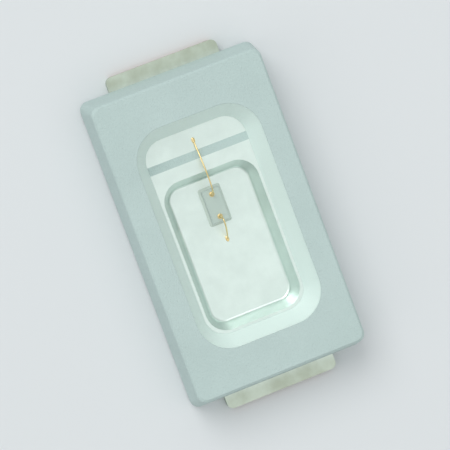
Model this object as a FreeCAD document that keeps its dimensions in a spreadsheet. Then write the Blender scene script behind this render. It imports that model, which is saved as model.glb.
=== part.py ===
import FreeCAD, Part
import math
import os

import Sketcher

# A mid-power surface-mount LED in a moulded package with a lead at each end. Millimetres.
# X runs along the package towards the end with the small bonding pad, Y across it, Z up.
# The origin is on the solder plane under the middle of the package.

doc = FreeCAD.newDocument("smd_led")

# Driving sizes, each with what it measures.
SIZES = {
    "body_length": (5.24, "moulded body at its parting line"),
    "body_width": (3.0, "moulded body at its parting line"),
    "body_height": (0.9, "solder plane to top face"),
    "body_corner": (0.14, "upright corners of the body"),
    "body_edge": (0.03, "bevel of the top face's outer edge"),
    "side_draft": (5.0, "slope of the body's side walls, degrees"),
    "end_draft": (10.0, "slope of the body's end walls, degrees"),
    "body_standoff": (0.02, "solder plane to the plastic underside"),
    "window_length": (3.7, "mouth of the reflector in the top face"),
    "window_width": (2.1, "mouth of the reflector in the top face"),
    "window_corner": (0.55, "mouth corners"),
    "window_slope": (24.0, "reflector wall from upright, degrees"),
    "bond_height": (0.45, "solder plane to the bonding level of the leads"),
    "metal_thickness": (0.15, "lead frame sheet"),
    "foot_width": (1.9, "solder feet"),
    "foot_projection": (0.23, "solder feet past the body"),
    "foot_corner": (0.1, "outer corners of the solder feet"),
    "end_bite": (0.12, "flange of each lead held in the end wall"),
    "side_bite": (0.3, "flange of each lead held in each side wall"),
    "joggle_angle": (45.0, "step of the lead down to its foot, degrees"),
    "bend_radius": (0.05, "inside radius of the lead's bends"),
    "pad_show": (0.36, "small bonding pad, from the reflector wall to its inner edge"),
    "lead_gap": (0.14, "plastic strip between the two leads"),
    "shelf_width": (0.23, "flat metal between that strip and the cup's mouth"),
    "cup_ledge": (0.045, "flat metal between the cup's mouth and the reflector wall"),
    "cup_corner": (0.34, "mouth corners of the cup"),
    "cup_slope": (21.0, "cup wall from upright, degrees"),
    "cup_wall": (0.12, "drawn wall of the cup, measured level"),
    "cup_root": (0.06, "rounding where the cup's wall meets its floor"),
    "cup_heel": (0.08, "outer rounding under the cup's wall"),
    "fill_dip": (0.03, "clear fill below the top face, at its middle"),
    "fill_edge": (0.3, "width of the raised edge of the clear fill"),
    "fill_corner": (0.25, "corners of the flat middle of the clear fill"),
    "chip_length": (0.56, "along the package"),
    "chip_width": (0.3, "across the package"),
    "chip_thickness": (0.12, "sapphire and its light-giving layer"),
    "chip_setback": (0.305, "cup's mouth, on the shelf's side, to the chip's end"),
    "glue_line": (0.01, "adhesive under the chip"),
    "glue_spread": (0.04, "adhesive past the chip's sides, at the floor"),
    "glue_climb": (0.03, "adhesive up the chip's sides"),
    "glue_top": (0.005, "adhesive past the chip's sides, at its top"),
    "wire_diameter": (0.025, "gold bond wire"),
    "ball_diameter": (0.08, "ball bond on the chip"),
    "ball_height": (0.025, "ball bond on the chip"),
    "ball_shoulder": (0.012, "bevel round the ball's top"),
    "ball_inset": (0.09, "ball's middle from the chip's end"),
    "stitch_length": (0.1, "flattened end of the wire"),
    "stitch_width": (0.06, "flattened end of the wire"),
    "stitch_corner": (0.027, "corners of the flattened end"),
    "stitch_height": (0.014, "flattened end of the wire"),
    "stitch_slope": (30.0, "sides of the flattened end from upright, degrees"),
    "neck_height": (0.16, "wire's upright rise over the ball"),
    "neck_bend": (0.09, "wire's bend over the neck"),
    "pad_shoulder": (0.25, "bend where the wire to the pad starts down"),
    "pad_landing": (30.0, "slope of that wire where it lands, degrees"),
    "floor_shoulder": (0.1, "bend where the wire to the cup floor starts down"),
    "floor_landing": (65.0, "slope of that wire where it lands, degrees"),
    "pad_stitch": (0.16, "stitch's middle from the small pad's inner edge"),
    "floor_stitch": (0.3, "stitch's middle from the chip's end, on the cup floor"),
}

sheet = doc.addObject("Spreadsheet::Sheet", "Sizes")
for row, (alias, (size, meaning)) in enumerate(SIZES.items(), start=1):
    sheet.set(f"A{row}", alias)
    sheet.set(f"B{row}", str(size))
    sheet.set(f"C{row}", meaning)
    sheet.setAlias(f"B{row}", alias)
doc.recompute()

# Places that follow from the sizes, as formulas of the sheet.
BODY_END = "(Sizes.body_length / 2)"
FOOT_END = f"({BODY_END} + Sizes.foot_projection)"
WINDOW_DEPTH = "(Sizes.body_height - Sizes.bond_height)"
WALL_RUN = f"({WINDOW_DEPTH} * tan(Sizes.window_slope * 1 deg))"
FLOOR_END = f"(Sizes.window_length / 2 - {WALL_RUN})"
FLOOR_SIDE = f"(Sizes.window_width / 2 - {WALL_RUN})"
FLANGE_END = f"({FLOOR_END} + Sizes.end_bite)"
FLANGE_SIDE = f"({FLOOR_SIDE} + Sizes.side_bite)"
FLANGE_UNDER = "(Sizes.bond_height - Sizes.metal_thickness)"
JOGGLE_RUN = f"({FLANGE_UNDER} / tan(Sizes.joggle_angle * 1 deg))"
MITRE = "(Sizes.metal_thickness * tan(Sizes.joggle_angle * 0.5 deg))"
CUP_DEPTH = FLANGE_UNDER
PAD_EDGE = f"({FLOOR_END} - Sizes.pad_show)"
SHELF_EDGE = f"({PAD_EDGE} - Sizes.lead_gap)"
CUP_LOW = f"(Sizes.cup_ledge - {FLOOR_END})"
CUP_HIGH = f"({SHELF_EDGE} - Sizes.shelf_width)"
CUP_SIDE = f"({FLOOR_SIDE} - Sizes.cup_ledge)"
CHIP_BASE = "(Sizes.metal_thickness + Sizes.glue_line)"
CHIP_TOP = f"({CHIP_BASE} + Sizes.chip_thickness)"
CHIP_NEAR = f"({CUP_HIGH} - Sizes.chip_setback)"
CHIP_FAR = f"({CHIP_NEAR} - Sizes.chip_length)"


# How near an edge lies to a place to be taken as at it.
NEAR = 1e-4


def number(formula):
    """What a formula of the sheet's sizes comes to."""
    return float(sheet.evalExpression(formula))


def body(name):
    return doc.addObject("PartDesign::Body", name)


def sketch_in(owner, name, role, height="0"):
    """An empty sketch on one of the body's own origin planes, lifted along the plane's normal."""
    sketch = owner.newObject("Sketcher::SketchObject", name)
    plane = next(f for f in owner.Origin.OriginFeatures if f.Role == role)
    sketch.AttachmentSupport = [(plane, "")]
    sketch.MapMode = "FlatFace"
    sketch.setExpression("AttachmentOffset.Base.z", height)
    return sketch


def round_sketch(owner, name, height, place_x, diameter):
    """A sketch of one circle on the package's length axis."""
    sketch = sketch_in(owner, name, "XY_Plane", height)
    centre = FreeCAD.Vector(number(place_x), 0, 0)
    upwards = FreeCAD.Vector(0, 0, 1)
    at = sketch.addGeometry(Part.Circle(centre, upwards, number(diameter) / 2))
    size = sketch.addConstraint(Sketcher.Constraint("Diameter", at, number(diameter)))
    sketch.setExpression(f"Constraints[{size}]", diameter)
    pin(sketch, "DistanceX", at, 3, place_x)
    pin(sketch, "DistanceY", at, 3, "0")
    return sketch


def pin(sketch, kind, geometry, end, formula):
    """Holds one end of a line or arc at a place measured from the sketch's origin."""
    at = sketch.addConstraint(Sketcher.Constraint(kind, -1, 1, geometry, end, number(formula)))
    sketch.setExpression(f"Constraints[{at}]", formula)


def polygon(sketch, corners):
    """Straight lines through the corners, each a pair of formulas."""
    points = [FreeCAD.Vector(number(x), number(y), 0) for x, y in corners]
    count = len(points)
    for i in range(count):
        sketch.addGeometry(Part.LineSegment(points[i], points[(i + 1) % count]))
    for i, (x, y) in enumerate(corners):
        sketch.addConstraint(Sketcher.Constraint("Coincident", i, 2, (i + 1) % count, 1))
        pin(sketch, "DistanceX", i, 1, x)
        pin(sketch, "DistanceY", i, 1, y)


def rounded_rectangle(sketch, low_x, high_x, half_width, corner):
    """A rectangle about the X axis with four like corner arcs. The places are formulas."""
    left, right, half, radius = (number(f) for f in (low_x, high_x, half_width, corner))
    centres = [
        (right - radius, half - radius),
        (left + radius, half - radius),
        (left + radius, radius - half),
        (right - radius, radius - half),
    ]
    for quarter, (x, y) in enumerate(centres):
        circle = Part.Circle(FreeCAD.Vector(x, y, 0), FreeCAD.Vector(0, 0, 1), radius)
        start = quarter * math.pi / 2
        sketch.addGeometry(Part.ArcOfCircle(circle, start, start + math.pi / 2))
    for quarter in range(4):
        here = sketch.Geometry[quarter].EndPoint
        there = sketch.Geometry[(quarter + 1) % 4].StartPoint
        sketch.addGeometry(Part.LineSegment(here, there))
    for quarter in range(4):
        line = 4 + quarter
        sketch.addConstraint(Sketcher.Constraint("Tangent", quarter, 2, line, 1))
        sketch.addConstraint(Sketcher.Constraint("Tangent", line, 2, (quarter + 1) % 4, 1))
        sketch.addConstraint(Sketcher.Constraint("Vertical" if quarter % 2 else "Horizontal", line))
        if quarter:
            sketch.addConstraint(Sketcher.Constraint("Equal", 0, quarter))
    at = sketch.addConstraint(Sketcher.Constraint("Radius", 0, radius))
    sketch.setExpression(f"Constraints[{at}]", corner)
    pin(sketch, "DistanceY", 4, 1, half_width)
    pin(sketch, "DistanceX", 5, 1, low_x)
    pin(sketch, "DistanceY", 6, 1, f"-{half_width}")
    pin(sketch, "DistanceX", 7, 1, high_x)


def pad(owner, sketch, length, down=False, slope="0", middle=False):
    """Material from a sketch. The slope is the angle by which the walls lean inwards."""
    feature = owner.newObject("PartDesign::Pad", f"{sketch.Name}_pad")
    feature.Profile = sketch
    feature.setExpression("Length", length)
    feature.Reversed = down
    feature.Midplane = middle
    feature.setExpression("TaperAngle", f"-({slope}) * 1 deg")
    doc.recompute()
    return feature


def loft(owner, name, sections):
    """Straight walls from each section up to the next."""
    feature = owner.newObject("PartDesign::AdditiveLoft", name)
    feature.Profile = sections[0]
    feature.Sections = sections[1:]
    feature.Ruled = True
    doc.recompute()
    return feature


def soften(owner, base, name, kind, size, wanted):
    """Rounds or bevels the edges of the base feature for which wanted is true."""
    chosen = [f"Edge{i}" for i, edge in enumerate(base.Shape.Edges, start=1) if wanted(edge)]
    feature = owner.newObject(f"PartDesign::{kind}", name)
    feature.Base = (base, chosen)
    feature.setExpression("Radius" if kind == "Fillet" else "Size", size)
    doc.recompute()
    return feature


def fillet(owner, base, name, radius, wanted):
    return soften(owner, base, name, "Fillet", radius, wanted)


def within(edge, low, high):
    """Whether an edge lies between two places, each of which may leave a direction free."""
    box = edge.BoundBox
    lows = zip((box.XMin, box.YMin, box.ZMin), low)
    highs = zip((box.XMax, box.YMax, box.ZMax), high)
    above = all(bound is None or value > bound - NEAR for value, bound in lows)
    below = all(bound is None or value < bound + NEAR for value, bound in highs)
    return above and below


def under_cup(height):
    """A test for the edges at one height under the cup and its wall."""
    z = number(height)
    wall = number("Sizes.cup_wall")
    half = number(CUP_SIDE) + wall
    low = (number(CUP_LOW) - wall, -half, z)
    high = (number(CUP_HIGH) + wall, half, z)
    return lambda edge: within(edge, low, high)


def level_edges(height):
    """A test for all the edges at one height."""
    z = number(height)
    return lambda edge: within(edge, (None, None, z), (None, None, z))


def across_at(x, z):
    """A test for the edge that runs along Y through one point of the side view."""
    place_x, place_z = number(x), number(z)
    return lambda edge: within(edge, (place_x, None, place_z), (place_x, None, place_z))


def upright_at(x):
    """A test for the upright edges at one place along the package."""
    place_x = number(x)

    def wanted(edge):
        return edge.BoundBox.ZLength > NEAR and within(edge, (place_x, None, None), (place_x, None, None))

    return wanted


def cut(name, base, tools):
    """The base without the tools, which stay as they are."""
    feature = doc.addObject("Part::Cut", name)
    feature.Base = base
    if len(tools) > 1:
        joined = doc.addObject("Part::MultiFuse", f"{name}_tools")
        joined.Shapes = tools
        feature.Tool = joined
    else:
        feature.Tool = tools[0]
    return feature


# The core: the hollow that the reflector wall and the drawn cup leave open. It shapes the
# housing and the cup, and is what the clear fill fills.
core = body("core")
mouth = sketch_in(core, "window_mouth", "XY_Plane", "Sizes.body_height")
window_ends = ("-(Sizes.window_length / 2)", "(Sizes.window_length / 2)")
rounded_rectangle(mouth, *window_ends, "(Sizes.window_width / 2)", "Sizes.window_corner")
pad(core, mouth, WINDOW_DEPTH, down=True, slope="Sizes.window_slope")
cup_mouth = sketch_in(core, "cup_mouth", "XY_Plane", "Sizes.bond_height")
rounded_rectangle(cup_mouth, CUP_LOW, CUP_HIGH, CUP_SIDE, "Sizes.cup_corner")
cup_hollow = pad(core, cup_mouth, CUP_DEPTH, down=True, slope="Sizes.cup_slope")
at_root = level_edges("Sizes.metal_thickness")
fillet(core, cup_hollow, "cup_root_rounding", "Sizes.cup_root", at_root)


def lead_strip(name, side, inner_end):
    """Flange at the bonding level, joggle inside the end wall, and foot on the solder plane.

    The side is 1 or -1, the way the lead leaves the package, and inner_end is measured that way.
    """
    strip = body(name)
    outline = sketch_in(strip, f"{name}_side_view", "XZ_Plane")
    step_top = f"({FLANGE_END} + {JOGGLE_RUN})"
    corners = [
        (inner_end, "Sizes.bond_height"),
        (FLANGE_END, "Sizes.bond_height"),
        (step_top, "Sizes.metal_thickness"),
        (FOOT_END, "Sizes.metal_thickness"),
        (FOOT_END, "0"),
        (f"({step_top} - {MITRE})", "0"),
        (f"({FLANGE_END} - {MITRE})", FLANGE_UNDER),
        (inner_end, FLANGE_UNDER),
    ]
    polygon(outline, [(f"{side} * {x}", z) for x, z in corners])
    bent = pad(strip, outline, "Sizes.foot_width", middle=True)
    outside = "Sizes.bend_radius + Sizes.metal_thickness"
    inside = "Sizes.bend_radius"
    for corner, radius in ((1, outside), (2, inside), (5, outside), (6, inside)):
        x, z = corners[corner]
        at_corner = across_at(f"{side} * {x}", z)
        bent = fillet(strip, bent, f"{name}_bend_{corner}", radius, at_corner)
    at_tip = upright_at(f"{side} * {FOOT_END}")
    fillet(strip, bent, f"{name}_foot_corners", "Sizes.foot_corner", at_tip)
    flange = sketch_in(strip, f"{name}_flange", "XY_Plane", "Sizes.bond_height")
    inner = f"{side} * {inner_end}"
    outer = f"{side} * ({FLANGE_END} - {MITRE})"
    low, high = f"-{FLANGE_SIDE}", FLANGE_SIDE
    polygon(flange, [(inner, low), (outer, low), (outer, high), (inner, high)])
    pad(strip, flange, "Sizes.metal_thickness", down=True)
    return strip


# The lead with the small bonding pad: one strip of silvered copper, bent and cropped.
anode_lead = lead_strip("anode_lead", 1, PAD_EDGE)

# The lead that carries the chip: the same strip the other way, with the cup drawn down into
# it, so that the cup's underside is the heat pad between the two feet.
cup_strip = lead_strip("cup_strip", -1, f"-{SHELF_EDGE}")
cup_outside = sketch_in(cup_strip, "cup_outside", "XY_Plane", "Sizes.bond_height")
rounded_rectangle(
    cup_outside,
    f"({CUP_LOW} - Sizes.cup_wall)",
    f"({CUP_HIGH} + Sizes.cup_wall)",
    f"({CUP_SIDE} + Sizes.cup_wall)",
    "(Sizes.cup_corner + Sizes.cup_wall)",
)
drawn = pad(cup_strip, cup_outside, "Sizes.bond_height", down=True, slope="Sizes.cup_slope")
fillet(cup_strip, drawn, "cup_heel_rounding", "Sizes.cup_heel", under_cup("0"))
cathode_lead = cut("cathode_lead", cup_strip, [core])

# The housing: white plastic moulded round both leads, drafted both ways from its parting line
# at the feet's top, more at the ends than at the sides, with the window that the core leaves.
shell = body("shell")
shell_sections = []
for level, bevel in (
    ("Sizes.body_standoff", "0"),
    ("Sizes.metal_thickness", "0"),
    ("(Sizes.body_height - Sizes.body_edge)", "0"),
    ("Sizes.body_height", "Sizes.body_edge"),
):
    rise = f"abs({level} - Sizes.metal_thickness)"
    half_length = f"({BODY_END} - {rise} * tan(Sizes.end_draft * 1 deg) - {bevel})"
    half_width = f"(Sizes.body_width / 2 - {rise} * tan(Sizes.side_draft * 1 deg) - {bevel})"
    section = sketch_in(shell, f"shell_section_{len(shell_sections)}", "XY_Plane", level)
    rounded_rectangle(section, f"-{half_length}", half_length, half_width, "Sizes.body_corner")
    shell_sections.append(section)
loft(shell, "shell_walls", shell_sections)
housing = cut("housing", shell, [core, anode_lead, cathode_lead])

# The chip: a block of sapphire with its light-giving layer on top, along the package.
led_chip = doc.addObject("Part::Box", "led_chip")
led_chip.setExpression("Length", "Sizes.chip_length")
led_chip.setExpression("Width", "Sizes.chip_width")
led_chip.setExpression("Height", "Sizes.chip_thickness")
led_chip.setExpression("Placement.Base.x", CHIP_FAR)
led_chip.setExpression("Placement.Base.y", "-Sizes.chip_width / 2")
led_chip.setExpression("Placement.Base.z", CHIP_BASE)

# The adhesive: a thin film under the chip that swells out and climbs a little up its sides.
glue = body("glue")
glue_sections = []
for level, spread in (
    ("Sizes.metal_thickness", "Sizes.glue_spread"),
    (f"({CHIP_BASE} + Sizes.glue_climb)", "Sizes.glue_top"),
):
    section = sketch_in(glue, f"glue_section_{len(glue_sections)}", "XY_Plane", level)
    rounded_rectangle(
        section,
        f"({CHIP_FAR} - {spread})",
        f"({CHIP_NEAR} + {spread})",
        f"(Sizes.chip_width / 2 + {spread})",
        spread,
    )
    glue_sections.append(section)
loft(glue, "glue_swell", glue_sections)
die_attach = cut("die_attach", glue, [led_chip])


def bond_wire(name, side, ball_place, stitch_place, stitch_level, shoulder, landing):
    """A ball on the chip, a neck, a level run, and a slope down into a flattened stitch.

    The places are measured from the package's middle, and side is the way the wire goes. The
    slope ends in the metal that it lands on, which is cut from it later.
    """
    wire = body(f"{name}_drawn")
    ball_top = f"({CHIP_TOP} + Sizes.ball_height)"
    start_z = f"({CHIP_TOP} + Sizes.ball_height / 2)"
    run_z = f"({ball_top} + Sizes.neck_height + Sizes.neck_bend)"
    down_z = f"({run_z} - {shoulder} * (1 - cos({landing} * 1 deg)))"
    down_x = f"({stitch_place} - {side} * ({down_z} - {stitch_level}) / tan({landing} * 1 deg))"
    level_x = f"({down_x} - {side} * {shoulder} * sin({landing} * 1 deg))"

    ball = round_sketch(wire, f"{name}_ball", CHIP_TOP, ball_place, "Sizes.ball_diameter")
    squashed = pad(wire, ball, "Sizes.ball_height")
    at_top = level_edges(ball_top)
    soften(wire, squashed, f"{name}_ball_top", "Chamfer", "Sizes.ball_shoulder", at_top)

    stitch = sketch_in(wire, f"{name}_stitch", "XY_Plane", stitch_level)
    rounded_rectangle(
        stitch,
        f"({stitch_place} - Sizes.stitch_length / 2)",
        f"({stitch_place} + Sizes.stitch_length / 2)",
        "(Sizes.stitch_width / 2)",
        "Sizes.stitch_corner",
    )
    pad(wire, stitch, "Sizes.stitch_height", slope="Sizes.stitch_slope")

    path = sketch_in(wire, f"{name}_path", "XZ_Plane")
    bend, drop = number("Sizes.neck_bend"), number(shoulder)
    x0, x1, x2, x3 = (number(f) for f in (ball_place, level_x, down_x, stitch_place))
    z0, z1, z2, z3 = (number(f) for f in (start_z, run_z, down_z, stitch_level))
    half_bend, half_drop = math.radians(45), math.radians(number(landing) / 2)
    neck_foot = FreeCAD.Vector(x0, z0)
    neck_head = FreeCAD.Vector(x0, z1 - bend)
    over = FreeCAD.Vector(x0 + side * bend * (1 - math.cos(half_bend)), z1 - bend * (1 - math.sin(half_bend)))
    run_start = FreeCAD.Vector(x0 + side * bend, z1)
    run_end = FreeCAD.Vector(x1, z1)
    shoulder_top = FreeCAD.Vector(x1 + side * drop * math.sin(half_drop), z1 - drop * (1 - math.cos(half_drop)))
    slope_top = FreeCAD.Vector(x2, z2)
    slope_foot = FreeCAD.Vector(x3, z3)
    path.addGeometry(Part.LineSegment(neck_foot, neck_head))
    path.addGeometry(Part.Arc(neck_head, over, run_start))
    path.addGeometry(Part.LineSegment(run_start, run_end))
    path.addGeometry(Part.Arc(run_end, shoulder_top, slope_top))
    path.addGeometry(Part.LineSegment(slope_top, slope_foot))
    first, last = (2, 1) if side > 0 else (1, 2)
    for line, arc in ((0, 1), (2, 3)):
        path.addConstraint(Sketcher.Constraint("Tangent", line, 2, arc, first))
        path.addConstraint(Sketcher.Constraint("Tangent", arc, last, line + 2, 1))
    path.addConstraint(Sketcher.Constraint("Vertical", 0))
    path.addConstraint(Sketcher.Constraint("Horizontal", 2))
    for arc, radius in ((1, "Sizes.neck_bend"), (3, shoulder)):
        at = path.addConstraint(Sketcher.Constraint("Radius", arc, number(radius)))
        path.setExpression(f"Constraints[{at}]", radius)
    pin(path, "DistanceX", 0, 1, ball_place)
    pin(path, "DistanceY", 0, 1, start_z)
    pin(path, "DistanceY", 2, 1, run_z)
    pin(path, "DistanceX", 2, 2, level_x)
    pin(path, "DistanceX", 4, 2, stitch_place)
    pin(path, "DistanceY", 4, 2, stitch_level)
    section = round_sketch(wire, f"{name}_section", start_z, ball_place, "Sizes.wire_diameter")
    drawn_wire = wire.newObject("PartDesign::AdditivePipe", f"{name}_pipe")
    drawn_wire.Profile = section
    drawn_wire.Spine = path
    doc.recompute()
    return wire


PAD_STITCH = f"({PAD_EDGE} + Sizes.pad_stitch)"
FLOOR_STITCH = f"({CHIP_FAR} - Sizes.floor_stitch)"
to_pad = bond_wire(
    "anode_wire",
    1,
    f"({CHIP_NEAR} - Sizes.ball_inset)",
    PAD_STITCH,
    "Sizes.bond_height",
    "Sizes.pad_shoulder",
    "Sizes.pad_landing",
)
to_floor = bond_wire(
    "cathode_wire",
    -1,
    f"({CHIP_FAR} + Sizes.ball_inset)",
    FLOOR_STITCH,
    "Sizes.metal_thickness",
    "Sizes.floor_shoulder",
    "Sizes.floor_landing",
)
anode_bond_wire = cut("anode_bond_wire", to_pad, [anode_lead])
cathode_bond_wire = cut("cathode_bond_wire", to_floor, [cathode_lead])

# The clear fill: silicone poured to the window's brim, which sinks a little as it cures and
# keeps a raised edge, with everything in the cup set in it.
dip = body("fill_surface")
brim = sketch_in(dip, "fill_brim", "XY_Plane", "Sizes.body_height")
rounded_rectangle(brim, *window_ends, "(Sizes.window_width / 2)", "Sizes.window_corner")
flat = sketch_in(dip, "fill_flat", "XY_Plane", "(Sizes.body_height - Sizes.fill_dip)")
rounded_rectangle(
    flat,
    "(Sizes.fill_edge - Sizes.window_length / 2)",
    "(Sizes.window_length / 2 - Sizes.fill_edge)",
    "(Sizes.window_width / 2 - Sizes.fill_edge)",
    "Sizes.fill_corner",
)
loft(dip, "fill_sink", [brim, flat])
set_in = [dip, led_chip, die_attach, anode_bond_wire, cathode_bond_wire]
encapsulant = cut("encapsulant", core, set_in)

doc.recompute()
PIECES = [
    housing,
    anode_lead,
    cathode_lead,
    die_attach,
    led_chip,
    anode_bond_wire,
    cathode_bond_wire,
    encapsulant,
]
failed = [o.Name for o in doc.Objects if "Invalid" in o.State or "Error" in o.State]
if failed:
    raise RuntimeError(f"these objects did not compute: {failed}")
os.makedirs("parts", exist_ok=True)
for piece in PIECES:
    shape = piece.Shape
    if shape.isNull() or not shape.isValid() or len(shape.Solids) != 1:
        raise RuntimeError(f"{piece.Label} is not one sound solid")
    shape.exportStep(f"parts/{piece.Label}.step")
    print(f"{piece.Label}: {shape.Volume:.5f} mm3, {len(shape.Faces)} faces")
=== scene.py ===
import math

import bmesh
import bpy
from mathutils import Matrix, Vector


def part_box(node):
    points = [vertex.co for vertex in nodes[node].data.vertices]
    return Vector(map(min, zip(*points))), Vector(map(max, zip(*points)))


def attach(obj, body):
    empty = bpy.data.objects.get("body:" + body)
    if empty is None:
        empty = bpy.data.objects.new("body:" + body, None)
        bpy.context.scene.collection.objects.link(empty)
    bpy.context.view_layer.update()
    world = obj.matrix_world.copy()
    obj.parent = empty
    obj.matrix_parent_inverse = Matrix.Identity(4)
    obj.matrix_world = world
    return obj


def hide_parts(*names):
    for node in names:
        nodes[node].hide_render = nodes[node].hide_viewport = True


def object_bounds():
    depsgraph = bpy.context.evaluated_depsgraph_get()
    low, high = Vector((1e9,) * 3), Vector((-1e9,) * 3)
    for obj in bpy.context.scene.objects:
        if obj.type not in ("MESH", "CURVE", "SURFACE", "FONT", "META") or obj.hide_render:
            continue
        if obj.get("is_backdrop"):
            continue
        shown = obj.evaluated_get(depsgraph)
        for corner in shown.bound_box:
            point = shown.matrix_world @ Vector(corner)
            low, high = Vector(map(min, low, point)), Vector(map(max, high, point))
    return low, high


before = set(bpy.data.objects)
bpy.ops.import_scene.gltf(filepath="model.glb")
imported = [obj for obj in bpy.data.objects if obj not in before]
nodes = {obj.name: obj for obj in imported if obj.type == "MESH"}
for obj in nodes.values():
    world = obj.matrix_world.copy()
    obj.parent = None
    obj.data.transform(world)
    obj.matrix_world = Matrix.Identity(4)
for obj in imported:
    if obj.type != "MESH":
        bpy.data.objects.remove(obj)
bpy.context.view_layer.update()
scene = bpy.context.scene
MM = 0.001


# The leads: copper strip plated with bright silver, blanked and bent in a press, with the
# cup drawn down into the wider one. The plating has a rolled grain and has yellowed on the
# feet, and there it is also painted darker as painted shade. At the cropped ends it is
# smeared over the top, and the torn copper shows under it.
LEAD_EDGE = 0.006
SHARP_ANGLE = math.radians(32)
FLAT_ANGLE = math.radians(0.5)
MERGE_REACH = 1e-5
GRAIN_DRAW = 0.1
TEAR_DRAW = 0.12
FOOT_FROM = 2.58
FOOT_BLEND = 0.3
# How far the feet take their colour: yellowed plating, darkened as painted shade.
FOOT_STAIN_AND_SHADE = 0.9
CROPPED_FROM = 2.848
SMEARED_FROM = 0.125
SMEAR_RAGGED = 0.05
SMEAR_BLEND = 0.01


def tone(red, green, blue):
    """A colour as a picture shows it, 0 to 255, as the light that a shader works in."""
    linear = []
    for level in (red, green, blue):
        share = level / 255
        linear.append(share / 12.92 if share <= 0.04045 else ((share + 0.055) / 1.055) ** 2.4)
    return (*linear, 1.0)


class Socket:
    """An output in a node tree. Arithmetic on it adds Math nodes."""

    def __init__(self, tree, output=None):
        self.tree = tree
        self.output = output

    def add(self, kind, settings=None, inputs=None, output=0):
        """A new node: its settings, then what goes into its sockets, then the output wanted."""
        node = self.tree.nodes.new(kind)
        for name, value in (settings or {}).items():
            setattr(node, name, value)
        for name, value in (inputs or {}).items():
            given = value if isinstance(value, list) else [value]
            for one in given:
                if isinstance(one, Socket):
                    self.tree.links.new(one.output, node.inputs[name])
                else:
                    node.inputs[name].default_value = one
        return Socket(self.tree, node.outputs[output] if node.outputs else None)

    def math(self, operation, *values):
        return self.add("ShaderNodeMath", {"operation": operation}, dict(enumerate(values)))

    def __add__(self, other):
        return self.math("ADD", self, other)

    __radd__ = __add__

    def __sub__(self, other):
        return self.math("SUBTRACT", self, other)

    def __rsub__(self, other):
        return self.math("SUBTRACT", other, self)

    def __mul__(self, other):
        return self.math("MULTIPLY", self, other)

    __rmul__ = __mul__

    def __pow__(self, other):
        return self.math("POWER", self, other)

    def __abs__(self):
        return self.math("ABSOLUTE", self)

    def over(self, level, soft=0.0):
        """1 where the value is over the level, 0 under it, blended over a band if soft."""
        if not soft:
            return self.math("GREATER_THAN", self, level)
        ends = {"From Min": level - soft / 2, "From Max": level + soft / 2, "Value": self}
        return self.add("ShaderNodeMapRange", {"interpolation_type": "SMOOTHSTEP"}, ends)

    def between(self, colour, other):
        """A colour mix: the first colour where this is 0, the other where it is 1."""
        return self.add("ShaderNodeMix", {"data_type": "RGBA"}, {0: self, 6: colour, 7: other}, 2)


def start_material(name):
    """An empty material, and the place on the piece in millimetres."""
    material = bpy.data.materials.new(name)
    material.use_nodes = True
    material.node_tree.nodes.clear()
    start = Socket(material.node_tree)
    place = start.add("ShaderNodeTexCoord", output="Object")
    scaled = {"operation": "SCALE"}
    return material, start.add("ShaderNodeVectorMath", scaled, {"Vector": place, "Scale": 1 / MM})


def sides(spot):
    """The place along X, Y and Z as three numbers."""
    return [spot.add("ShaderNodeSeparateXYZ", inputs={"Vector": spot}, output=i) for i in range(3)]


def placed(x, y, z):
    """The three numbers as one place again."""
    return y.add("ShaderNodeCombineXYZ", inputs={"X": x, "Y": y, "Z": z})


def cloud(spot, size, detail=3.0):
    """Smooth noise about 0.5, in blotches about this many millimetres across."""
    inputs = {"Vector": spot, "Scale": 1 / size, "Detail": detail, "Roughness": 0.55}
    return spot.add("ShaderNodeTexNoise", inputs=inputs)


def relief(spot, height, depth, under=None):
    """A bump of this depth in millimetres where the height goes from 0 to 1."""
    inputs = {"Height": height, "Distance": depth * MM, "Strength": 1.0}
    if under:
        inputs["Normal"] = under
    return spot.add("ShaderNodeBump", inputs=inputs)


def end_material(spot, **finish):
    """The material's one shader, with what goes into its sockets."""
    inputs = {name.replace("_", " "): value for name, value in finish.items()}
    shader = spot.add("ShaderNodeBsdfPrincipled", inputs=inputs)
    spot.add("ShaderNodeOutputMaterial", inputs={"Surface": shader})


def plain_mesh(carrier):
    """The carrier with its modifiers worked into a mesh of its own, in metres."""
    scene.collection.objects.link(carrier)
    depsgraph = bpy.context.evaluated_depsgraph_get()
    data = bpy.data.meshes.new_from_object(carrier.evaluated_get(depsgraph))
    carrier_data = carrier.data
    bpy.data.objects.remove(carrier)
    bpy.data.meshes.remove(carrier_data)
    data.transform(Matrix.Scale(MM, 4))
    return data


def place_piece(name, data, material, stands_for=None):
    """Puts a finished mesh into the scene as a piece of the part."""
    data.name = name
    data.materials.clear()
    data.materials.append(material)
    piece = bpy.data.objects.new(name, data)
    scene.collection.objects.link(piece)
    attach(piece, "root")
    if stands_for:
        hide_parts(stands_for)
    return piece


def eased(node, edge):
    """A copy of a frame piece with one skin, its sharp edges eased and its curves smooth."""
    data = nodes[node].data.copy()
    data.transform(Matrix.Scale(1 / MM, 4))
    mesh = bmesh.new()
    mesh.from_mesh(data)
    bmesh.ops.remove_doubles(mesh, verts=mesh.verts, dist=MERGE_REACH)
    bmesh.ops.dissolve_limit(mesh, angle_limit=FLAT_ANGLE, verts=mesh.verts, edges=mesh.edges)
    mesh.to_mesh(data)
    mesh.free()
    data.materials.clear()
    data.shade_smooth()
    data.set_sharp_from_angle(angle=SHARP_ANGLE)
    carrier = bpy.data.objects.new(node + "_carrier", data)
    bevel = carrier.modifiers.new("eased_edges", "BEVEL")
    bevel.limit_method = "ANGLE"
    bevel.angle_limit = SHARP_ANGLE
    bevel.width = edge
    bevel.segments = 2
    bevel.use_clamp_overlap = True
    even = carrier.modifiers.new("even_faces", "WEIGHTED_NORMAL")
    even.keep_sharp = False
    return plain_mesh(carrier)


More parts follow.
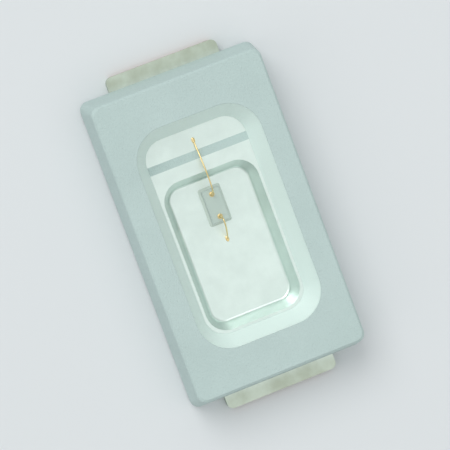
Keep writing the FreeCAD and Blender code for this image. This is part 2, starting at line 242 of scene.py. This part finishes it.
silvered_copper, spot = start_material("silvered_copper")
along_x, along_y, along_z = sides(spot)
rolled = cloud(placed(along_x * GRAIN_DRAW, along_y, along_z), 0.025)
torn = cloud(placed(along_x, along_y, along_z * TEAR_DRAW), 0.03, 2.0)
reach = abs(along_x)
foot = reach.over(FOOT_FROM, FOOT_BLEND)
smeared = (along_z + torn * SMEAR_RAGGED).over(SMEARED_FROM, SMEAR_BLEND)
cropped = reach.over(CROPPED_FROM) * (1 - smeared)
stain = cloud(spot, 0.3).over(0.5, 0.5)
wavy = cloud(spot, 0.35)
silver = stain.between(tone(228, 240, 235), tone(220, 232, 227))
# The feet's colour: yellowed plating, made darker too as painted shade.
yellowed_and_shaded = stain.between(tone(200, 211, 196), tone(178, 187, 168))
plated = (foot * FOOT_STAIN_AND_SHADE).between(silver, yellowed_and_shaded)
bare_copper = torn.between(tone(160, 126, 102), tone(192, 162, 138))
wavy_skin = relief(spot, wavy, 0.002)
end_material(
    spot,
    Base_Color=cropped.between(plated, bare_copper),
    Metallic=1.0,
    Roughness=0.32 + rolled * 0.1 + foot * 0.08 + cropped * 0.3,
    Normal=relief(spot, rolled, 0.0015, relief(spot, cropped * torn, 0.004, wavy_skin)),
)
for lead in ("anode_lead", "cathode_lead"):
    finished = eased(lead, LEAD_EDGE)
    place_piece(lead + "_plated", finished, silvered_copper, lead)


# The housing: white reflector plastic, moulded in one shot round both leads. Its skin is
# matt and faintly cloudy with the fine grain of the mould. The walls of the window come from
# a polished core, so they are glossier and smooth, and they are painted whiter as painted
# light for the light that bounces round the window. Underneath is the torn round stub of
# the gate.
HOUSING_EDGE = 0.012
CORE_MARGIN = 0.003
ROUND_STEPS = 12
GATE_X = 1.42
GATE_RADIUS = 0.14
GATE_BLEND = 0.03
GATE_BELOW = 0.1
GATE_STUB = 0.008
# The stub's rings: the share of its radius, and of its depth below the housing.
GATE_PROFILE = ((1.0, -0.25), (1.0, 0.5), (0.9, 1.0), (0.4, 0.7))
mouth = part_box("encapsulant")[1] / MM
bond_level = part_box("anode_lead")[1].z / MM


def lofted(name, rings):
    """A closed skin through rings of points in millimetres, capped at the first and last."""
    mesh = bmesh.new()
    rows = [[mesh.verts.new(point * MM) for point in ring] for ring in rings]
    for lower, upper in zip(rows, rows[1:]):
        for i, corner in enumerate(lower):
            j = (i + 1) % len(lower)
            mesh.faces.new((corner, lower[j], upper[j], upper[i]))
    mesh.faces.new(rows[0])
    mesh.faces.new(rows[-1])
    bmesh.ops.recalc_face_normals(mesh, faces=mesh.faces)
    data = bpy.data.meshes.new(name)
    mesh.to_mesh(data)
    mesh.free()
    return data


def round_ring(x, radius, z):
    """Points round a circle at one height, in millimetres."""
    turns = [math.pi * step / ROUND_STEPS for step in range(2 * ROUND_STEPS)]
    return [Vector((x + radius * math.cos(turn), radius * math.sin(turn), z)) for turn in turns]


white_plastic, spot = start_material("white_plastic")
milky = cloud(spot, 0.9, 4.0)
grain = cloud(spot, 0.03, 2.0)
speck = cloud(spot, 0.018, 1.0).over(0.66, 0.08)
tint = milky.between(tone(177, 196, 193), tone(191, 210, 207))
along_x, along_y, along_z = sides(spot)
in_length = 1 - abs(along_x).over(mouth.x + CORE_MARGIN)
in_width = 1 - abs(along_y).over(mouth.y + CORE_MARGIN)
in_depth = along_z.over(bond_level + CORE_MARGIN) * (1 - along_z.over(mouth.z - CORE_MARGIN))
# The window's walls: polished, so glossier and without the mould's grain, and painted whiter as painted
# light for the light bouncing round the window.
polished_and_painted_bright = in_length * in_width * in_depth
mould_grain = grain * (1 - polished_and_painted_bright)
skin = (speck * 0.6).between(tint, tone(166, 184, 181))
off_gate = along_x - GATE_X
gate_reach = (off_gate * off_gate + along_y * along_y) ** 0.5
gate = (1 - gate_reach.over(GATE_RADIUS, GATE_BLEND)) * (1 - along_z.over(GATE_BELOW))
end_material(
    spot,
    # The window's walls get a whiter colour: painted light, not a colour of the plastic.
    Base_Color=polished_and_painted_bright.between(skin, tone(230, 244, 240)),
    Roughness=0.5 + mould_grain * 0.16 + gate * 0.2 - polished_and_painted_bright * 0.12,
    Specular_IOR_Level=0.45,
    Normal=relief(spot, mould_grain * (1 + gate), 0.012, relief(spot, milky, 0.006)),
)
finished = eased("housing", HOUSING_EDGE)
place_piece("housing_moulded", finished, white_plastic, "housing")
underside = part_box("housing")[0].z / MM
rings = [
    round_ring(GATE_X, GATE_RADIUS * width, underside - GATE_STUB * depth)
    for width, depth in GATE_PROFILE
]
place_piece("gate_stub", lofted("gate_stub", rings), white_plastic)


# The adhesive under the chip: a thin film of cured clear resin, glossy where it has swelled
# out round the chip.
GLUE_EDGE = 0.002
clear_adhesive, spot = start_material("clear_adhesive")
end_material(
    spot,
    Base_Color=cloud(spot, 0.05).between(tone(196, 206, 198), tone(216, 226, 218)),
    Roughness=0.12 + cloud(spot, 0.08) * 0.08,
    Normal=relief(spot, cloud(spot, 0.06), 0.002),
)
finished = eased("die_attach", GLUE_EDGE)
place_piece("die_attach_cured", finished, clear_adhesive, "die_attach")


# The chip: polished sapphire on silver, grey from above, with a light-giving layer on top
# that is etched back from the diced edge, and two gold contacts for the wires.
STREET = 0.014
ETCH = 0.004
BALL_INSET = 0.09
CONTACT_RADIUS = 0.044
CONTACT_METAL = 0.002
chip_low, chip_high = (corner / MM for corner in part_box("led_chip"))
near_ball = Vector((chip_low.x + BALL_INSET, 0.0, chip_high.z))
far_ball = Vector((chip_high.x - BALL_INSET, 0.0, chip_high.z))


def square_ring(low, high, inset, z):
    """The corners of a rectangle drawn in from two corner points."""
    xs = (low.x + inset, high.x - inset)
    ys = (low.y + inset, high.y - inset)
    return [Vector((xs[i], ys[j], z)) for i, j in ((0, 0), (1, 0), (1, 1), (0, 1))]


sapphire_chip, spot = start_material("sapphire_chip")
along_x, along_y, along_z = sides(spot)
on_layer = along_z.over(chip_high.z - ETCH / 2)
diced = cloud(spot, 0.012, 2.0)
clear_body = cloud(spot, 0.1).between(tone(168, 182, 176), tone(184, 197, 191))
end_material(
    spot,
    Base_Color=on_layer.between(clear_body, tone(183, 198, 191)),
    Roughness=0.34 - on_layer * 0.24 + diced * 0.08,
    Normal=relief(spot, diced * (1 - on_layer), 0.002),
)
rings = [
    square_ring(chip_low, chip_high, 0.0, chip_low.z),
    square_ring(chip_low, chip_high, 0.0, chip_high.z - ETCH),
    square_ring(chip_low, chip_high, STREET, chip_high.z - ETCH),
    square_ring(chip_low, chip_high, STREET + ETCH / 2, chip_high.z),
]
place_piece("led_chip_diced", lofted("led_chip", rings), sapphire_chip, "led_chip")

gold_wire, spot = start_material("gold_wire")
worked = cloud(spot, 0.05, 2.0)
end_material(
    spot,
    Base_Color=worked.between(tone(252, 226, 166), tone(240, 208, 146)),
    Metallic=1.0,
    Roughness=0.26 + worked * 0.1,
    Normal=relief(spot, cloud(spot, 0.006), 0.00005),
)
for end, ball in (("near", near_ball), ("far", far_ball)):
    rings = [
        round_ring(ball.x, CONTACT_RADIUS, ball.z - CONTACT_METAL),
        round_ring(ball.x, CONTACT_RADIUS, ball.z + CONTACT_METAL / 2),
        round_ring(ball.x, CONTACT_RADIUS - CONTACT_METAL / 2, ball.z + CONTACT_METAL),
    ]
    place_piece(end + "_contact", lofted(end + "_contact", rings), gold_wire)


# The bond wires: drawn gold. Each starts as a ball that is squashed on to a contact, rises,
# loops over and is pressed flat into the silver as a stitch.
WIRE_DIAMETER = 0.025
WIRE_STEPS = 40
BALL_DIAMETER = 0.08
BALL_HEIGHT = 0.025
STITCH_LENGTH = 0.1
STITCH_WIDTH = 0.06
STITCH_HEIGHT = 0.014
LOOP_PULL = 0.14
# Shares of the ball's height, and of its diameter for the shoulder's width.
BALL_SWELL = 1.3
BALL_MIDDLE = 0.4
SHOULDER_WIDTH = 0.72
SHOULDER_HEIGHT = 1.3
SHOULDER_MIDDLE = 0.8
NECK_HEIGHT = 2


def wire_tree():
    """The rule of a bond wire: ball, cone, looped wire and stitch, sized in millimetres."""
    tree = bpy.data.node_groups.new("bond_wire", "GeometryNodeTree")
    wanted = (
        ("Ball Place", "NodeSocketVector"), ("Rise", "NodeSocketVector"),
        ("Fall", "NodeSocketVector"), ("Stitch Place", "NodeSocketVector"),
        ("Wire Diameter", "NodeSocketFloat"), ("Ball Diameter", "NodeSocketFloat"),
        ("Ball Height", "NodeSocketFloat"), ("Stitch Size", "NodeSocketVector"),
        ("Gold", "NodeSocketMaterial"),
    )
    for name, kind in wanted:
        tree.interface.new_socket(name, in_out="INPUT", socket_type=kind)
    tree.interface.new_socket("Wire", in_out="OUTPUT", socket_type="NodeSocketGeometry")
    start = Socket(tree)
    given = {name: start.add("NodeGroupInput", output=name) for name, kind in wanted}
    thick, ball, tall = given["Wire Diameter"], given["Ball Diameter"], given["Ball Height"]

    def lifted(place, height):
        """The place, this much higher."""
        rise = start.add("ShaderNodeCombineXYZ", inputs={"Z": height})
        return start.add("ShaderNodeVectorMath", {"operation": "ADD"}, {0: place, 1: rise})

    def shown(shape, place, size):
        """The shape, sized and put at a place."""
        inputs = {"Geometry": shape, "Translation": place, "Scale": size}
        return start.add("GeometryNodeTransform", inputs=inputs)

    neck = lifted(given["Ball Place"], tall * NECK_HEIGHT)
    path = start.add("GeometryNodeCurvePrimitiveBezierSegment", inputs={
        "Resolution": WIRE_STEPS, "Start": neck, "Start Handle": given["Rise"],
        "End Handle": given["Fall"], "End": given["Stitch Place"],
    })
    section = start.add("GeometryNodeCurvePrimitiveCircle", inputs={
        "Resolution": 12, "Radius": thick * 0.5,
    })
    looped = start.add("GeometryNodeCurveToMesh", inputs={
        "Curve": path, "Profile Curve": section, "Fill Caps": True,
    })
    sphere = start.add("GeometryNodeMeshUVSphere", inputs={
        "Segments": 24, "Rings": 12, "Radius": 0.5,
    })
    ball_size = placed(ball, ball, tall * BALL_SWELL)
    squashed = shown(sphere, lifted(given["Ball Place"], tall * BALL_MIDDLE), ball_size)
    cone = start.add("GeometryNodeMeshCone", inputs={
        "Vertices": 24, "Radius Top": thick * 0.5, "Radius Bottom": ball * (SHOULDER_WIDTH / 2),
        "Depth": tall * SHOULDER_HEIGHT,
    })
    shoulder = shown(cone, lifted(given["Ball Place"], tall * SHOULDER_MIDDLE), (1.0, 1.0, 1.0))
    pressed = shown(sphere, given["Stitch Place"], given["Stitch Size"])
    joined = start.add("GeometryNodeJoinGeometry", inputs={
        "Geometry": [looped, squashed, shoulder, pressed],
    })
    smooth = start.add("GeometryNodeSetShadeSmooth", inputs={"Geometry": joined})
    real = start.add("GeometryNodeRealizeInstances", inputs={"Geometry": smooth})
    golden = start.add("GeometryNodeSetMaterial", inputs={"Geometry": real, "Material": given["Gold"]})
    start.add("NodeGroupOutput", inputs={"Wire": golden})
    return tree


def bonded(name, rule, sizes):
    """One wire made by the rule, as a mesh."""
    carrier = bpy.data.objects.new(name, bpy.data.meshes.new(name + "_carrier"))
    grown = carrier.modifiers.new("bond_wire", "NODES")
    grown.node_group = rule
    sockets = {item.name: item.identifier for item in rule.interface.items_tree}
    for label, value in sizes.items():
        grown[sockets[label]] = value
    return plain_mesh(carrier)


rule = wire_tree()
shared = {
    "Wire Diameter": WIRE_DIAMETER,
    "Ball Diameter": BALL_DIAMETER,
    "Ball Height": BALL_HEIGHT,
    "Stitch Size": (STITCH_LENGTH, STITCH_WIDTH, STITCH_HEIGHT * 2),
    "Gold": gold_wire,
}
anode_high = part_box("anode_bond_wire")[1] / MM
cathode_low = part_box("cathode_bond_wire")[0] / MM
loop_top = anode_high.z - WIRE_DIAMETER / 2
pad_place = Vector((anode_high.x - STITCH_LENGTH / 2, 0.0, bond_level))
floor_place = Vector((cathode_low.x + STITCH_LENGTH / 2, 0.0, cathode_low.z))
# How far each loop leans off its ball, and how far back from and over its stitch it comes in.
loops = (
    ("anode_bond_wire", far_ball, pad_place, -0.02, 0.46, 0.19),
    ("cathode_bond_wire", near_ball, floor_place, 0.03, 0.13, 0.36),
)
for name, ball, stitch, lean, back, height in loops:
    side = 1 if ball.x > stitch.x else -1
    sizes = dict(shared)
    sizes["Ball Place"] = ball
    sizes["Rise"] = ball + Vector((lean, 0.0, loop_top - ball.z + LOOP_PULL))
    sizes["Fall"] = stitch + Vector((side * back, 0.0, height))
    sizes["Stitch Place"] = stitch
    place_piece(name + "_looped", bonded(name, rule, sizes), gold_wire, name)


# The clear fill: silicone poured in over the chip and cured. It wets the window's edge and
# sinks towards the middle, so its surface is a shallow dish with a bright rim.
WINDOW_SLOPE = math.radians(24)
WINDOW_CORNER = 0.55
CUP_SLOPE = math.radians(21)
CUP_CORNER = 0.34
CUP_LEDGE = 0.045
PAD_SHOW = 0.36
LEAD_GAP = 0.14
SHELF_WIDTH = 0.23
DIP = 0.03
DIP_REACH = 0.42
DIP_CORNER = 0.85
DIP_CURVE = 2.5
DISH_STEPS = 10
SKIN = 0.004
RIM = 0.005
STRAIGHT_GLOSS = 0.03


def rounded_ring(low_x, high_x, half, corner, z):
    """Points round a rectangle with arc corners at one height."""
    ring = []
    middles = (
        (high_x - corner, half - corner),
        (low_x + corner, half - corner),
        (low_x + corner, corner - half),
        (high_x - corner, corner - half),
    )
    for quarter, (x, y) in enumerate(middles):
        for step in range(ROUND_STEPS + 1):
            turn = (quarter + step / ROUND_STEPS) * math.pi / 2
            ring.append(Vector((x + corner * math.cos(turn), y + corner * math.sin(turn), z)))
    return ring


cup_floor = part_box("encapsulant")[0].z / MM
wall_run = (mouth.z - bond_level) * math.tan(WINDOW_SLOPE)
base_x = mouth.x - wall_run
base_y = mouth.y - wall_run
cup_low_x = CUP_LEDGE - base_x
cup_high_x = base_x - PAD_SHOW - LEAD_GAP - SHELF_WIDTH
cup_y = base_y - CUP_LEDGE
root = SKIN - (bond_level - cup_floor) * math.tan(CUP_SLOPE)
rings = [
    rounded_ring(cup_low_x - root, cup_high_x + root, cup_y + root, CUP_CORNER + root, cup_floor - SKIN),
    rounded_ring(cup_low_x - SKIN, cup_high_x + SKIN, cup_y + SKIN, CUP_CORNER, bond_level - SKIN),
    rounded_ring(-base_x - SKIN, base_x + SKIN, base_y + SKIN, WINDOW_CORNER - wall_run, bond_level - SKIN),
    rounded_ring(-mouth.x - RIM, mouth.x + RIM, mouth.y + RIM, WINDOW_CORNER + RIM, mouth.z - RIM),
]
for step in range(1, DISH_STEPS + 1):
    share = step / DISH_STEPS
    inset = DIP_REACH * share
    sink = RIM + (DIP - RIM) * (1 - (1 - share) ** DIP_CURVE)
    corner = WINDOW_CORNER - inset * DIP_CORNER
    rings.append(rounded_ring(inset - mouth.x, mouth.x - inset, mouth.y - inset, corner, mouth.z - sink))
clear_silicone, spot = start_material("clear_silicone")
surface = spot.add("ShaderNodeBsdfPrincipled", inputs={
    "Base Color": tone(235, 242, 240),
    "Roughness": 0.05,
    "Normal": relief(spot, cloud(spot, 0.8), 0.004),
})
through = spot.add("ShaderNodeBsdfTransparent", inputs={"Color": (0.985, 0.995, 0.99, 1.0)})
# The gloss is the same from inside the fill, so that the light from the cup comes out again.
glance = spot.add("ShaderNodeLayerWeight", inputs={"Blend": 0.5}, output=1)
gloss = STRAIGHT_GLOSS + (1 - STRAIGHT_GLOSS) * glance ** 5
both = spot.add("ShaderNodeMixShader", inputs={0: gloss, 1: through, 2: surface})
spot.add("ShaderNodeOutputMaterial", inputs={"Surface": both})
finished = lofted("clear_fill", rings)
fill = place_piece("clear_fill", finished, clear_silicone, "encapsulant")
for face in fill.data.polygons:
    face.use_smooth = face.center.z > (mouth.z - DIP - SKIN) * MM


# The studio: a pale card just under the solder faces, an even pale sky, a soft key lamp off the
# small pad's end, and faint broad ones overhead, at one side and at both ends, which the silver
# mirrors. The camera looks down on the part, leaning a little to its side and its small pad.
CARD_HALF = 200
CARD_DROP = 0.002
CARD_BLOTCH = 30.0
SKY = (0.97, 1.0, 1.0, 1.0)
SKY_STRENGTH = 0.5
LAMPS = (
    ("key_lamp", (105, 48, 138), 126, 0.133),
    ("overhead_lamp", (-9, -7, 30), 34, 0.00154),
    ("side_lamp", (0, 38, 32), 40, 0.0022),
    ("near_end_lamp", (31, 0, 28), 40, 0.0018),
    ("far_end_lamp", (-31, 0, 40), 36, 0.0009),
)
TILT = math.radians(8)
LENGTH_LEAN = math.radians(5)
ROLL = math.radians(-20.6)
CAMERA_DISTANCE = 40.0
LENS = 200
card_mesh = bpy.data.meshes.new("pale_card")
turns = ((-1, -1), (1, -1), (1, 1), (-1, 1))
card_corners = [Vector((x * CARD_HALF, y * CARD_HALF, -CARD_DROP)) * MM for x, y in turns]
card_mesh.from_pydata(card_corners, [], [(0, 1, 2, 3)])
card = bpy.data.objects.new("pale_card", card_mesh)
scene.collection.objects.link(card)
pale, spot = start_material("pale_card")
paper = cloud(spot, CARD_BLOTCH).between(tone(216, 220, 222), tone(222, 226, 228))
end_material(spot, Base_Color=paper, Roughness=0.85)
card_mesh.materials.append(pale)
card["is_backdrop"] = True

world = bpy.data.worlds.new("studio_air")
world.use_nodes = True
world.node_tree.nodes["Background"].inputs["Color"].default_value = SKY
world.node_tree.nodes["Background"].inputs["Strength"].default_value = SKY_STRENGTH
scene.world = world

for name, place, size, watts in LAMPS:
    lamp = bpy.data.lights.new(name, "AREA")
    lamp.shape = "DISK"
    lamp.size = size * MM
    lamp.energy = watts
    hung = bpy.data.objects.new(name, lamp)
    hung.location = Vector(place) * MM
    hung.rotation_euler = hung.location.to_track_quat("Z", "Y").to_euler()
    scene.collection.objects.link(hung)

part_low, part_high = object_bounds()
aim = (part_low + part_high) / 2
towards = Vector((math.sin(LENGTH_LEAN), math.sin(TILT), math.cos(TILT))).normalized()
length_way = Vector((1, 0, 0))
upwards = (length_way - towards * length_way.dot(towards)).normalized()
turned = Matrix.Rotation(ROLL, 3, towards)
axes = Matrix((turned @ upwards.cross(towards), turned @ upwards, towards)).transposed()
camera_data = bpy.data.cameras.new("camera")
camera_data.lens = LENS
camera_data.clip_start = 1 * MM
camera_data.clip_end = 5.0
camera = bpy.data.objects.new("camera", camera_data)
camera.matrix_world = Matrix.Translation(aim + towards * CAMERA_DISTANCE * MM) @ axes.to_4x4()
scene.collection.objects.link(camera)
scene.camera = camera
scene.view_settings.view_transform = "Standard"
